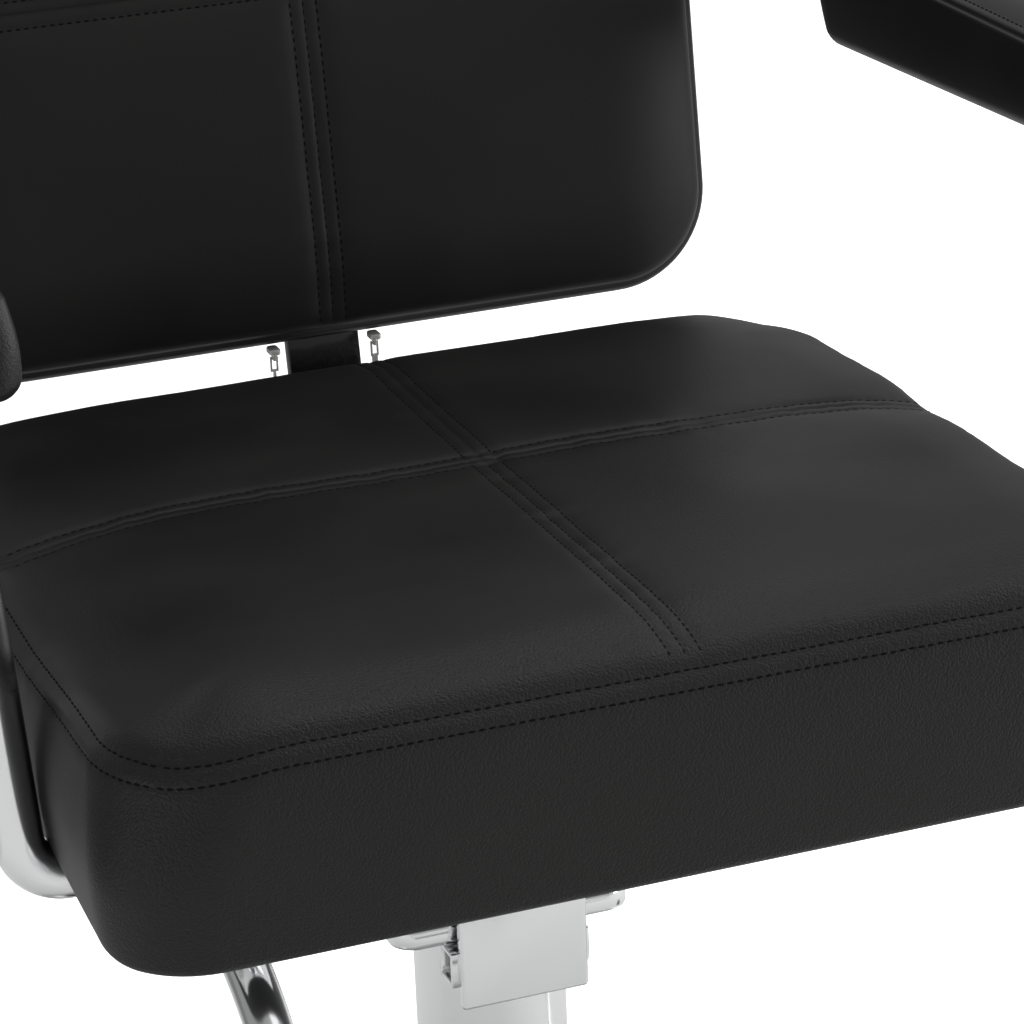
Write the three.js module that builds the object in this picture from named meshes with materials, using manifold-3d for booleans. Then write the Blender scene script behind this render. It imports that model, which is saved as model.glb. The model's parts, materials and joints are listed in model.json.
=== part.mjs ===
// Hydraulic salon styling chair: disc base, pump with foot pedal, swivel head,
// upholstered seat and back, padded loop arms and a U-shaped footrest.
// Millimetres. Origin on the floor at the swivel axis, +Z up, the sitter faces -Y.
import * as THREE from 'three';
import { mergeVertices } from 'three/addons/utils/BufferGeometryUtils.js';
import Module from 'manifold-3d';

const wasm = await Module();
wasm.setup();

// ---- driving dimensions ----
const gap = 0.3;                 // clearance between neighbouring pieces

const baseR = 302;               // chrome base cover
const discR = 286;
const discH = 11;

const coverR = 41;               // pump cover tube
const coverTop = 257;
const pistonR = 28;
const pistonTop = 262;
const spigotR = 15;

const pivot = { y: 62, z: 80 };  // pedal pin, before the pump is turned
const pumpTurn = -110 * Math.PI / 180; // the pump stands with its pedal at the side
const padY = [262, 322];

const headZ = 265;               // underside of the swivel head
const headHalf = 67;
const headT = 12;
const riserX = 35.3;
const riserY = [-50, 45];
const seatPlate = { x: 110, y: [-120, 140], z: [408, 413.6] };

const seat = { x: 262, y: [-304, 171], z: [415, 524], r: 66 };
const board = { x: 246, y: [-288, 155], z: [415.4, 427.4], r: 52 };

const tilt = 10 * Math.PI / 180; // back recline
const backFoot = { y: 210, z: 519.5 };
const back = { x: 232, s: [0, 413], n: [0, 80], r: 52 };
const backBoard = { x: 203, s: [22, 384], n: [40, 52], r: 34 };
const barHalf = 21;
const barT = 8;

const armR = 12.5;
const arm = { y: -150, lowZ: 401.7, lowX: 282, topX: 303, topZ: 691, rearY: 334.5, endX: 92 };
const armRearX = [118, 176];     // bolts that hold the arm ends to the back board
const pad = { x: [285, 347], y: [-265, 168], z: [661, 727] };
const core = { x: [293, 339], y: [-238, 142], z: [704.2, 713] };

const footR = 11;
const foot = { x: 207, z: 399.4, backY: -176, bendY: -293, barY: -436, barZ: 152 };

// ---- materials ----
const finish = (color, roughness, metalness) => ({ color, roughness, metalness });
const chrome = finish(0xd9dcde, 0.12, 1);
const zinc = finish(0xc4c6c4, 0.35, 1);
const blackPaint = finish(0x1a1a1b, 0.3, 0.4);
const castIron = finish(0x4a4b4d, 0.7, 0.6);
const rubber = finish(0x161616, 0.85, 0);
const vinyl = finish(0x222222, 0.5, 0);
const plywood = finish(0xb08a5a, 0.8, 0);
const felt = finish(0x151515, 0.95, 0);

// ---- helpers ----
const group = new THREE.Group();

function add(name, geometry, look) {
  const clean = new THREE.BufferGeometry();
  clean.setAttribute('position', geometry.attributes.position.clone());
  if (geometry.index) clean.setIndex(geometry.index.clone());
  const mesh = new THREE.Mesh(mergeVertices(clean, 1e-4), new THREE.MeshStandardMaterial(look));
  mesh.name = name;
  group.add(mesh);
}

function bare(geometry) {
  const g = geometry.clone();
  g.deleteAttribute('normal');
  g.deleteAttribute('uv');
  return mergeVertices(g, 1e-4);
}

function solid(geometry) {
  const g = bare(geometry);
  return new wasm.Manifold(new wasm.Mesh({
    numProp: 3,
    vertProperties: new Float32Array(g.attributes.position.array),
    triVerts: new Uint32Array(g.index.array),
  }));
}

function shape(manifold) {
  const mesh = manifold.getMesh();
  const g = new THREE.BufferGeometry();
  g.setAttribute('position', new THREE.BufferAttribute(new Float32Array(mesh.vertProperties), 3));
  g.setIndex(new THREE.BufferAttribute(new Uint32Array(mesh.triVerts), 1));
  return g;
}

function cut(geometry, ...tools) {
  let result = solid(geometry);
  for (const tool of tools) result = result.subtract(solid(tool));
  return shape(result);
}

function join(geometry, ...others) {
  let result = solid(geometry);
  for (const other of others) result = result.add(solid(other));
  return shape(result);
}

function box(x0, x1, y0, y1, z0, z1) {
  const g = new THREE.BoxGeometry(x1 - x0, y1 - y0, z1 - z0);
  return g.translate((x0 + x1) / 2, (y0 + y1) / 2, (z0 + z1) / 2);
}

// Solid of revolution about Z from (radius, height) pairs.
function turned(profile, segments = 32) {
  const points = profile.map(([r, z]) => new THREE.Vector2(r, z));
  return new THREE.LatheGeometry(points, segments).rotateX(Math.PI / 2);
}

function rod(r, z0, z1, segments = 24) {
  return turned([[0, z0], [r, z0], [r, z1], [0, z1]], segments);
}

function rodX(r, x0, x1, y, z, segments = 24) {
  return rod(r, x0, x1, segments).rotateY(Math.PI / 2).translate(0, y, z);
}

function rodY(r, y0, y1, x, z, segments = 24) {
  return rod(r, -y1, -y0, segments).rotateX(Math.PI / 2).translate(x, 0, z);
}

function roundedOutline(x0, x1, y0, y1, r) {
  const s = new THREE.Shape();
  s.moveTo(x0 + r, y0);
  s.lineTo(x1 - r, y0);
  s.absarc(x1 - r, y0 + r, r, -Math.PI / 2, 0, false);
  s.lineTo(x1, y1 - r);
  s.absarc(x1 - r, y1 - r, r, 0, Math.PI / 2, false);
  s.lineTo(x0 + r, y1);
  s.absarc(x0 + r, y1 - r, r, Math.PI / 2, Math.PI, false);
  s.lineTo(x0, y0 + r);
  s.absarc(x0 + r, y0 + r, r, Math.PI, 1.5 * Math.PI, false);
  return s;
}

// Rounded slab between z0 and z1, its edges rolled by the edge radius.
function slab(x0, x1, y0, y1, z0, z1, r, edge = 0, curve = 6, rolls = 3) {
  const outline = roundedOutline(x0 + edge, x1 - edge, y0 + edge, y1 - edge, r - edge);
  const g = new THREE.ExtrudeGeometry(outline, {
    depth: z1 - z0 - 2 * edge, bevelEnabled: edge > 0, bevelThickness: edge,
    bevelSize: edge, bevelSegments: rolls, curveSegments: curve,
  });
  return g.translate(0, 0, z0 + edge);
}

// A path of straight runs joined by arcs; rings fall on its own points.
class BentPath extends THREE.Curve {
  constructor(corners, radii, arcSteps = 7) {
    super();
    this.points = [corners[0]];
    for (let i = 1; i < corners.length - 1; i += 1) {
      const a = corners[i - 1].clone().sub(corners[i]).normalize();
      const b = corners[i + 1].clone().sub(corners[i]).normalize();
      const half = a.angleTo(b) / 2;
      const reach = radii[i - 1] / Math.tan(half);
      const mid = a.clone().add(b).normalize();
      const centre = corners[i].clone().addScaledVector(mid, radii[i - 1] / Math.sin(half));
      const start = corners[i].clone().addScaledVector(a, reach).sub(centre);
      const end = corners[i].clone().addScaledVector(b, reach).sub(centre);
      const axis = start.clone().cross(end).normalize();
      const turn = start.angleTo(end);
      for (let k = 0; k <= arcSteps; k += 1) {
        this.points.push(start.clone().applyAxisAngle(axis, turn * k / arcSteps).add(centre));
      }
    }
    this.points.push(corners[corners.length - 1]);
    this.steps = this.points.length - 1;
  }

  getPoint(t) {
    const u = Math.min(Math.max(t, 0), 1) * this.steps;
    const i = Math.min(Math.floor(u), this.steps - 1);
    return this.points[i].clone().lerp(this.points[i + 1], u - i);
  }

  getPointAt(t) { return this.getPoint(t); }

  getTangentAt(t) {
    const i = Math.round(Math.min(Math.max(t, 0), 1) * this.steps);
    const before = this.points[Math.max(i - 1, 0)];
    const here = this.points[i];
    const after = this.points[Math.min(i + 1, this.steps)];
    const into = here.clone().sub(before).normalize();
    const out = after.clone().sub(here).normalize();
    return into.add(out).normalize();
  }
}

function tube(path, r, segments = 12) {
  const ring = new THREE.Shape();
  ring.absarc(0, 0, r, 0, 2 * Math.PI, false);
  return new THREE.ExtrudeGeometry(ring, {
    steps: path.steps, extrudePath: path, curveSegments: segments / 2, bevelEnabled: false,
  });
}

const onPump = (geometry) => geometry.rotateZ(pumpTurn);
const v = (x, y, z) => new THREE.Vector3(x, y, z);
const mirrored = (side, geometry) => (side > 0 ? geometry
  : shape(solid(geometry).mirror([1, 0, 0])));

// Hexagon-headed bolt standing on +Z with its head at the top.
function bolt(x, y, shankZ, headAtZ, headTopZ, shankR = 4, headR = 7.5) {
  const flip = headTopZ < headAtZ;
  const [lo, hi] = flip ? [headTopZ, headAtZ] : [headAtZ, headTopZ];
  const head = rod(headR, lo, hi, 6);
  const shank = flip ? rod(shankR, headAtZ - 0.5, shankZ, 12) : rod(shankR, shankZ, headAtZ + 0.5, 12);
  return join(head, shank).translate(x, y, 0);
}

function hole(x, y, r, z0, z1, segments = 12) {
  return rod(r, z0, z1, segments).translate(x, y, 0);
}

// ---- base ----
function baseDisc() {
  return rod(discR, 0, discH, 36);
}

function baseRing() {
  return turned([[discR + gap, 0], [299, 0], [301, 2], [301, 11], [299, 13], [discR + gap, 13],
    [discR + gap, 0]], 36);
}

function baseCover() {
  const outer = [[baseR, 13.3], [baseR, 16.5], [297, 19], [270, 24], [200, 32.5], [130, 39.5],
    [84, 44.5], [68, 48.5], [50, 51.5], [43, 52]];
  const inner = [[43, 50.2], [49.5, 49.8], [67, 46.8], [83, 42.8], [130, 37.7], [200, 30.7],
    [270, 22.2], [296, 17.2], [300, 15.8], [300, 13.3]];
  return turned([...outer, ...inner, outer[0]], 36);
}

function pumpCylinder() {
  const body = turned([[0, discH + gap], [74, discH + gap], [74, 20], [37.5, 22], [37.5, 240],
    [0, 240]], 32);
  return cut(body, rod(pistonR + 0.1, 26, 300, 32));
}

function pumpCover() {
  return turned([[39.6, 52.3], [coverR, 52.3], [coverR, coverTop - 1], [40, coverTop],
    [33, coverTop], [33, coverTop - 2.5], [39.6, coverTop - 2.5], [39.6, 52.3]], 32);
}

function pumpCollar() {
  return turned([[coverR + gap, 52.4], [54, 52.4], [54, 54], [46, 59], [coverR + gap, 60],
    [coverR + gap, 52.4]], 32);
}

function pedalHousing() {
  const body = box(-19, 19, 30, 74, 60.4, 101);
  return cut(body, rod(coverR + gap, 50, 120, 40), box(-9, 9, 48, 90, 50, 120),
    rodX(5.1, -30, 30, pivot.y, pivot.z));
}

function pedalPin() {
  const x = 19 + gap;
  return join(rodX(5, -x, x, pivot.y, pivot.z), rodX(8, x - 0.1, x + 3, pivot.y, pivot.z, 6),
    rodX(8, -x - 3, 0.1 - x, pivot.y, pivot.z, 6));
}

function pedalLever() {
  const side = new THREE.Shape();
  const line = [[62, 71], [110, 73], [250, 106], [padY[0], 113], [padY[0], 119], [244, 117],
    [106, 86], [62, 89]];
  line.forEach(([y, z], i) => (i ? side.lineTo(y, z) : side.moveTo(y, z)));
  const bar = new THREE.ExtrudeGeometry(side, { depth: 16.4, bevelEnabled: false });
  bar.rotateY(Math.PI / 2).rotateX(Math.PI / 2).translate(-8.2, 0, 0);
  const sole = slab(-30, 30, padY[0] - 4, padY[1] - 4, 113, 119, 8, 0, 4);
  return cut(join(bar, rodX(10.5, -8.2, 8.2, pivot.y, pivot.z), sole),
    rodX(5.25, -30, 30, pivot.y, pivot.z));
}

function pedalPad() {
  return slab(-34, 34, padY[0] - 7, padY[1], 119.3, 129, 11, 2.5, 4, 2);
}

// ---- lift ----
function piston() {
  return turned([[0, 100], [pistonR - 1, 100], [pistonR, 102], [pistonR, pistonTop],
    [spigotR, pistonTop], [spigotR, 284], [0, 284]], 32);
}

function thrustWasher() {
  return turned([[spigotR + 0.2, pistonTop + 0.15], [27, pistonTop + 0.15],
    [27, headZ - 0.2], [spigotR + 0.2, headZ - 0.2], [spigotR + 0.2, pistonTop + 0.15]], 24);
}

// ---- swivel head and seat frame ----
const headBolts = [[50, -32], [-50, -32], [50, 50], [-50, 50]];

function headPlate() {
  const plate = slab(-headHalf, headHalf, -46, headHalf, headZ, headZ + headT, 14, 2, 4, 2);
  const ribs = [-1, 1].map((s) => box(s > 0 ? 36 : -62, s > 0 ? 62 : -36, -20, 38,
    headZ + headT - 1, headZ + headT + 9));
  const holes = headBolts.map(([x, y]) => hole(x, y, 4.3, headZ - 5, headZ + 40));
  return cut(join(plate, ...ribs), rod(spigotR + 0.4, headZ - 5, headZ + 40, 32), ...holes);
}

function riserBox() {
  const z0 = headZ + headT + gap;
  const tubeX = riserX;
  const shell = box(-tubeX, tubeX, riserY[0], riserY[1], z0, seatPlate.z[0] - gap);
  const hollow = box(4 - tubeX, tubeX - 4, riserY[0] + 4, riserY[1] - 4, z0 - 5, 420);
  return cut(shell, hollow);
}

function frontPlate() {
  return slab(-35.6, 35.6, -399, -231, 0, 6, 2, 0.8, 3, 1).rotateX(-Math.PI / 2)
    .translate(0, -57.9, 0);
}

function crossTube() {
  const outer = box(-39, 39, -51.6, -32, 242, 262);
  const hollow = box(-50, 50, -49.1, -34.5, 244.5, 259.5);
  return cut(outer, hollow, rod(43.4, 200, 300, 40));
}

const plateBolts = [[88, -96], [-88, -96], [88, 116], [-88, 116]];
const barBolts = [[0, 70], [0, 118]];

function seatTopPlate() {
  const plate = slab(-seatPlate.x, seatPlate.x, seatPlate.y[0], seatPlate.y[1],
    seatPlate.z[0], seatPlate.z[1], 16, 0, 4);
  return cut(plate, ...[...plateBolts, ...barBolts].map(([x, y]) => hole(x, y, 4.3, 400, 420)));
}

const boltBoard = (x, y) => hole(x, y, 4.3, 410, 424.6);
const armBolts = [[1, 172], [1, 224]];
const footBolts = [[228, -262], [186, -200]];

function seatBoard() {
  const plate = slab(-board.x, board.x, board.y[0], board.y[1], board.z[0], board.z[1],
    board.r, 0, 5);
  const holes = [];
  for (const [x, y] of [...plateBolts, ...barBolts]) holes.push(boltBoard(x, y));
  for (const s of [-1, 1]) {
    for (const [, x] of armBolts) holes.push(boltBoard(s * x, arm.y));
    for (const [x, y] of footBolts) holes.push(boltBoard(s * x, y));
  }
  return cut(plate, ...holes);
}

function seatCushion() {
  const body = slab(-seat.x, seat.x, seat.y[0], seat.y[1], seat.z[0], seat.z[1], seat.r, 16, 8, 4);
  const pocket = slab(-board.x - gap, board.x + gap, board.y[0] - gap, board.y[1] + gap,
    seat.z[0] - 5, board.z[1] + gap, board.r + gap, 0, 5);
  return cut(body, pocket);
}

// ---- arms ----
function armPath() {
  return new BentPath([
    v(142, arm.y, arm.lowZ), v(arm.lowX, arm.y, arm.lowZ), v(arm.topX, arm.y, arm.topZ),
    v(arm.topX, arm.rearY, arm.topZ), v(arm.endX, arm.rearY, arm.topZ),
  ], [24, 60, 62]);
}

function armTube() {
  const holes = armBolts.map(([, x]) => hole(x, arm.y, 4.3, 380, 420));
  const rear = armRearX.map((x) => rodY(3.3, arm.rearY - 30, arm.rearY + 30, x, arm.topZ, 10));
  return cut(tube(armPath(), armR), ...holes, ...rear);
}

function rearBolt(x) {
  const y = arm.rearY + armR + gap;
  return join(rodY(3, 282, y + 0.5, x, arm.topZ, 10), rodY(6.5, y, y + 4.5, x, arm.topZ, 12));
}

function armPad() {
  const edge = 6;
  const [y0, y1] = [pad.y[0] + edge, pad.y[1] - edge];
  const [z0, z1] = [pad.z[0] + edge, pad.z[1] - edge];
  const outline = [[y0 + 7, z0], [y1 - 20, z0], [y1 + 12, z1 - 5], [y1 + 8, z1], [y0 + 46, z1],
    [y0 + 26, z1 - 4], [y0 + 12, z1 - 16], [y0, z0 + 8], [y0 + 1.5, z0 + 2]];
  const side = new THREE.Shape(outline.map(([y, z]) => new THREE.Vector2(y, z)));
  const g = new THREE.ExtrudeGeometry(side, {
    depth: pad.x[1] - pad.x[0] - 2 * edge, bevelEnabled: true, bevelThickness: edge,
    bevelSize: edge, bevelSegments: 3,
  });
  g.rotateY(Math.PI / 2).rotateX(Math.PI / 2).translate(pad.x[0] + edge, 0, 0);
  const pocket = box(core.x[0] - gap, core.x[1] + gap, core.y[0] - gap, core.y[1] + gap,
    701, core.z[1] + gap);
  return cut(g, tube(armPath(), armR + gap + 0.1), pocket);
}

function armCore() {
  return slab(core.x[0], core.x[1], core.y[0], core.y[1], core.z[0], core.z[1], 8, 0, 3);
}

// ---- back ----
const onBack = (g) => g.rotateX(-tilt).translate(0, backFoot.y, backFoot.z);

// Rounded slab in the back's own plane: x across, n through, s up.
function backSlab(x, s, n, r, edge, curve, rolls) {
  return slab(-x, x, s[0], s[1], -n[1], -n[0], r, edge, curve, rolls).rotateX(Math.PI / 2);
}

const backBarN = [31.6, 39.6];

function armRearHoles() {
  return [-1, 1].flatMap((s) => armRearX.map((x) => rodY(3.3, 281, 360, s * x, arm.topZ, 10)));
}

function backCushion() {
  const body = backSlab(back.x, back.s, back.n, back.r, 15, 8, 4);
  const pocket = backSlab(backBoard.x + gap, [backBoard.s[0] - gap, backBoard.s[1] + gap],
    [backBoard.n[0] - gap, backBoard.n[1] + gap], backBoard.r + gap, 0, 5);
  const slot = box(-barHalf - gap, barHalf + gap, backBarN[0] - gap, 45, -20, 226);
  return cut(onBack(cut(body, pocket, slot)), ...armRearHoles());
}

function backPanel() {
  const body = backSlab(backBoard.x, backBoard.s, backBoard.n, backBoard.r, 0, 5);
  return cut(onBack(body), ...armRearHoles());
}

function backBar() {
  const n = (backBarN[0] + backBarN[1]) / 2;
  const at = (s) => v(0, backFoot.y + n * Math.cos(tilt) + s * Math.sin(tilt),
    backFoot.z - n * Math.sin(tilt) + s * Math.cos(tilt));
  const top = at(222);
  const low = at(0);
  const zRun = seatPlate.z[0] - gap - barT / 2;
  const t = (zRun - low.z) / (top.z - low.z);
  const corner = v(0, low.y + (top.y - low.y) * t, zRun);
  const path = new BentPath([v(0, 52, zRun), corner, top], [26], 6);
  const strip = new THREE.Shape();
  const points = path.points;
  const normals = points.map((p, i) => {
    const dir = path.getTangentAt(i / path.steps);
    return [-dir.z, dir.y];
  });
  const h = barT / 2;
  const left = points.map((p, i) => [p.y + normals[i][0] * h, p.z + normals[i][1] * h]);
  const right = points.map((p, i) => [p.y - normals[i][0] * h, p.z - normals[i][1] * h]);
  [...left, ...right.reverse()].forEach(([y, z], i) => (i ? strip.lineTo(y, z)
    : strip.moveTo(y, z)));
  const g = new THREE.ExtrudeGeometry(strip, { depth: 2 * barHalf, bevelEnabled: false });
  g.rotateY(Math.PI / 2).rotateX(Math.PI / 2).translate(-barHalf, 0, 0);
  return cut(g, ...barBolts.map(([x, y]) => hole(x, y, 4.3, 380, 415)));
}

// ---- footrest ----
function footPath() {
  const rise = v(foot.x, foot.bendY, foot.z);
  const low = v(foot.x, foot.barY, foot.barZ);
  return new BentPath([
    v(foot.x, foot.backY, foot.z), rise, low, v(-foot.x, foot.barY, foot.barZ),
    v(-foot.x, foot.bendY, foot.z), v(-foot.x, foot.backY, foot.z),
  ], [128, 48, 48, 128], 8);
}

function footTube() {
  return tube(footPath(), footR);
}

function footTread() {
  return rod(footR + 4.4, -122, 122, 20).rotateY(Math.PI / 2);
}

function footSleeve() {
  const sleeve = cut(footTread(), rod(footR + gap, -200, 200, 20).rotateY(Math.PI / 2));
  return sleeve.translate(0, foot.barY, foot.barZ);
}

function footBracket() {
  const z1 = 414.2;
  const plate = slab(172, 242, -277, -184, 410.8, z1, 8, 0, 3);
  return cut(plate, ...footBolts.map(([x, y]) => hole(x, y, 4.3, 400, 420)));
}

// ---- zip pulls ----
const zip = { middle: -3, x: 30, y: 230, z: 504.5 };

function zipSlider(side) {
  const body = slab(-3.2, 3.2, -5, 5, 4.6, 8.2, 2.2, 0.6, 3, 1);
  const bail = box(-0.8, 0.8, -2.2, 2.2, 0.7, 5);
  const eye = rodX(1, -3, 3, 0, 2.2, 10);
  return cut(join(body, bail), eye).translate(zip.middle + side * zip.x, zip.y, zip.z);
}

function zipTab(side) {
  const loopOuter = box(-2.3, 2.3, -0.6, 0.6, -6, 2.8);
  const loopInner = box(-1.3, 1.3, -3, 3, -4.8, 1.6);
  const blade = side > 0 ? slab(-1.8, 1.8, -0.6, 0.6, -23, -5.2, 0.5, 0, 2)
    : slab(-0.6, 0.6, -1.8, 1.8, -23, -5.2, 0.5, 0, 2);
  return join(cut(loopOuter, loopInner), blade).translate(zip.middle + side * zip.x, zip.y, zip.z);
}

// ---- assembly ----
add('base_disc', baseDisc(), castIron);
add('base_ring', baseRing(), rubber);
add('base_cover', baseCover(), chrome);
add('pump_cylinder', pumpCylinder(), castIron);
add('pump_cover', pumpCover(), chrome);
add('pump_collar', pumpCollar(), chrome);
add('pedal_housing', onPump(pedalHousing()), chrome);
add('pedal_pin', onPump(pedalPin()), zinc);
add('pedal_lever', onPump(pedalLever()), chrome);
add('pedal_pad', onPump(pedalPad()), rubber);
add('piston', piston(), chrome);
add('thrust_washer', thrustWasher(), zinc);

add('head_plate', headPlate(), chrome);
headBolts.forEach(([x, y], i) => add(`head_bolt_${i + 1}`,
  bolt(x, y, headZ - 3, headZ + headT + (y < 0 ? gap : 9 + gap), headZ + headT + (y < 0 ? 6 : 15)),
  zinc));
add('riser_box', riserBox(), blackPaint);
add('front_plate', frontPlate(), chrome);
add('cross_tube', crossTube(), chrome);
add('seat_plate', seatTopPlate(), blackPaint);
plateBolts.forEach(([x, y], i) => add(`plate_bolt_${i + 1}`,
  bolt(x, y, 424, seatPlate.z[0] - gap, seatPlate.z[0] - 6), zinc));
add('seat_board', seatBoard(), plywood);
add('seat_cushion', seatCushion(), vinyl);

const sides = [['l', -1], ['r', 1]];
for (const [tag, side] of sides) {
  add(`arm_tube_${tag}`, mirrored(side, armTube()), chrome);
  add(`arm_pad_${tag}`, mirrored(side, armPad()), vinyl);
  add(`arm_core_${tag}`, mirrored(side, armCore()), plywood);
  armBolts.forEach(([, x], i) => add(`arm_bolt_${tag}${i + 1}`,
    bolt(side * x, arm.y, 424, arm.lowZ - armR - gap, arm.lowZ - armR - 6), zinc));
  armRearX.forEach((x, i) => add(`arm_rear_bolt_${tag}${i + 1}`, rearBolt(side * x), zinc));
}

add('back_bar', backBar(), blackPaint);
barBolts.forEach(([x, y], i) => add(`bar_bolt_${i + 1}`,
  bolt(x, y, 424, seatPlate.z[0] - 2 * gap - barT, seatPlate.z[0] - barT - 6.3), zinc));
add('back_board', backPanel(), plywood);
add('back_cushion', backCushion(), vinyl);

add('foot_tube', footTube(), chrome);
add('foot_sleeve', footSleeve(), rubber);
for (const [tag, side] of sides) {
  add(`foot_bracket_${tag}`, mirrored(side, footBracket()), chrome);
  footBolts.forEach(([x, y], i) => add(`foot_bolt_${tag}${i + 1}`,
    bolt(side * x, y, 424, 410.8 - gap, 404.8), zinc));
}
for (const [tag, side] of sides) {
  add(`zip_slider_${tag}`, zipSlider(side), zinc);
  add(`zip_tab_${tag}`, zipTab(side), zinc);
}

export default group;
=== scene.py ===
import json
import math

import bmesh
import bpy
from mathutils import Matrix, Vector, noise
from mathutils.bvhtree import BVHTree


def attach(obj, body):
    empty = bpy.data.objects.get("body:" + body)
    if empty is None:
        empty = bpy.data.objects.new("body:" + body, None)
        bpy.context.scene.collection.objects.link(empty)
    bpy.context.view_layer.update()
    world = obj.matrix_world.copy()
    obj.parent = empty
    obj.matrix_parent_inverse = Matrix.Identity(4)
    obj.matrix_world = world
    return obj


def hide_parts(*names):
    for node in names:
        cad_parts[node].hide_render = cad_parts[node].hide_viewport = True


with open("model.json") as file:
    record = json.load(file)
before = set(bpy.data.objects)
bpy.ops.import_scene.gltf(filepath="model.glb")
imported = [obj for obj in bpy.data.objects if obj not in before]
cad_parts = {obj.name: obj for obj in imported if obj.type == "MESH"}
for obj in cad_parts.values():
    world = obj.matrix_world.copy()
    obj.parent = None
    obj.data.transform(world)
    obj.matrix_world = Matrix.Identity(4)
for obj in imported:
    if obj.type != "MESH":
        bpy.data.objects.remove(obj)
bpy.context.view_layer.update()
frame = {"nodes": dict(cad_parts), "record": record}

# A hydraulic styling chair: black vinyl cushions sewn from panels on chromed tube
# arms, with a swivel head on a pump column, a disc base and a tube footrest.

mm = 0.001
cad = frame["nodes"]
scene = bpy.context.scene


# Camera, light and floor.

cameraView = {
    "place": (-0.6326, -1.8333, 1.2367),   # metres
    "azimuth": 19.7,      # degrees from straight ahead
    "elevation": 21.15,   # degrees looking down
    "roll": -2.4,
    "lens": 140.6,
}

studio = {
    "leftLight": 0.27, "rightLight": 0.50,   # world strength towards either side
    "floorSeen": 1.05, "floorCast": 0.12,    # floor glow as seen, and as it lights the chair
    # Painted shade: the floor's colour runs from dark at the left rear to pale; the camera sees it
    # white by its glow, so the dark part shows only in reflections and bounce light.
    "floorPaintedShade": "#565656", "floorPale": "#f4f4f3", "paleFrom": -1.9, "paleTo": -0.7,
    "floorHalf": 14, "floorDrop": 0.0005,
    "panels": {   # place, target, size and power
        "topPanel": ((0.6, 0.6, 3.0), (0, -0.1, 0.5), (3.2, 3.2), 24),
        "rightPanel": ((2.6, 0.5, 1.7), (0, -0.1, 0.5), (1.6, 2.0), 22),
        "leftPanel": ((-2.4, -0.95, 0.75), (-0.2, -0.2, 0.45), (0.8, 1.0), 8),
        "frontPanel": ((2.6, -1.8, 1.0), (0, 0, 0.5), (1.2, 1.2), 15),
    },
}


def hexColour(text):
    parts = [int(text[i:i + 2], 16) / 255 for i in (1, 3, 5)]
    linear = [c / 12.92 if c <= 0.04045 else ((c + 0.055) / 1.055) ** 2.4 for c in parts]
    return (*linear, 1.0)


def placeCamera():
    az, el, roll = (math.radians(cameraView[k]) for k in ("azimuth", "elevation", "roll"))
    ahead = Vector((math.sin(az) * math.cos(el), math.cos(az) * math.cos(el), -math.sin(el)))
    side = Vector((math.cos(az), -math.sin(az), 0))
    top = side.cross(ahead)
    right = side * math.cos(roll) + top * math.sin(roll)
    up = top * math.cos(roll) - side * math.sin(roll)
    data = bpy.data.cameras.new("salonCamera")
    data.lens = cameraView["lens"]
    data.sensor_width = 36
    data.clip_end = 60
    camera = bpy.data.objects.new("salonCamera", data)
    turn = Matrix((right, up, -ahead)).transposed().to_4x4()
    camera.matrix_world = Matrix.Translation(cameraView["place"]) @ turn
    scene.collection.objects.link(camera)
    scene.camera = camera


def addLight(name, place, target, size, power):
    data = bpy.data.lights.new(name, "AREA")
    data.shape = "RECTANGLE"
    data.size, data.size_y = size
    data.energy = power
    light = bpy.data.objects.new(name, data)
    light.location = place
    light.rotation_euler = (Vector(target) - Vector(place)).to_track_quat("-Z", "Y").to_euler()
    scene.collection.objects.link(light)


placeCamera()
scene.view_settings.view_transform = "Standard"
print("camera placed")


# Materials.

def addNode(tree, kind, inputs=None, **settings):
    node = tree.nodes.new(kind)
    for key, value in settings.items():
        setattr(node, key, value)
    for key, value in (inputs or {}).items():
        if isinstance(value, bpy.types.NodeSocket):
            tree.links.new(value, node.inputs[key])
        else:
            node.inputs[key].default_value = value
    return node


def newMaterial(name, shader):
    material = bpy.data.materials.new(name)
    material.use_nodes = True
    tree = material.node_tree
    body = tree.nodes["Principled BSDF"]
    for key, value in shader.items():
        body.inputs[key].default_value = value
    place = addNode(tree, "ShaderNodeTexCoord").outputs["Object"]
    return material, tree, body, place


# Texture scale for a pattern of a real size in metres.
def scaleFor(size):
    return 1 / size


def spanRamp(tree, source, low, high, fromLow=0.0, fromHigh=1.0):
    node = addNode(tree, "ShaderNodeMapRange", {
        "Value": source, "From Min": fromLow, "From Max": fromHigh, "To Min": low, "To Max": high})
    return node.outputs["Result"]


def colourRamp(tree, source, stops):
    node = addNode(tree, "ShaderNodeValToRGB", {"Fac": source})
    elements = node.color_ramp.elements
    while len(elements) < len(stops):
        elements.new(0.5)
    for element, (at, colour) in zip(elements, stops):
        element.position = at
        element.color = hexColour(colour)
    return node.outputs["Color"]


def bumpInto(tree, body, height, distance, strength=1.0, under=None):
    inputs = {"Height": height, "Distance": distance, "Strength": strength}
    if under is not None:
        inputs["Normal"] = under
    node = addNode(tree, "ShaderNodeBump", inputs)
    tree.links.new(node.outputs["Normal"], body.inputs["Normal"])
    return node.outputs["Normal"]


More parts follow.
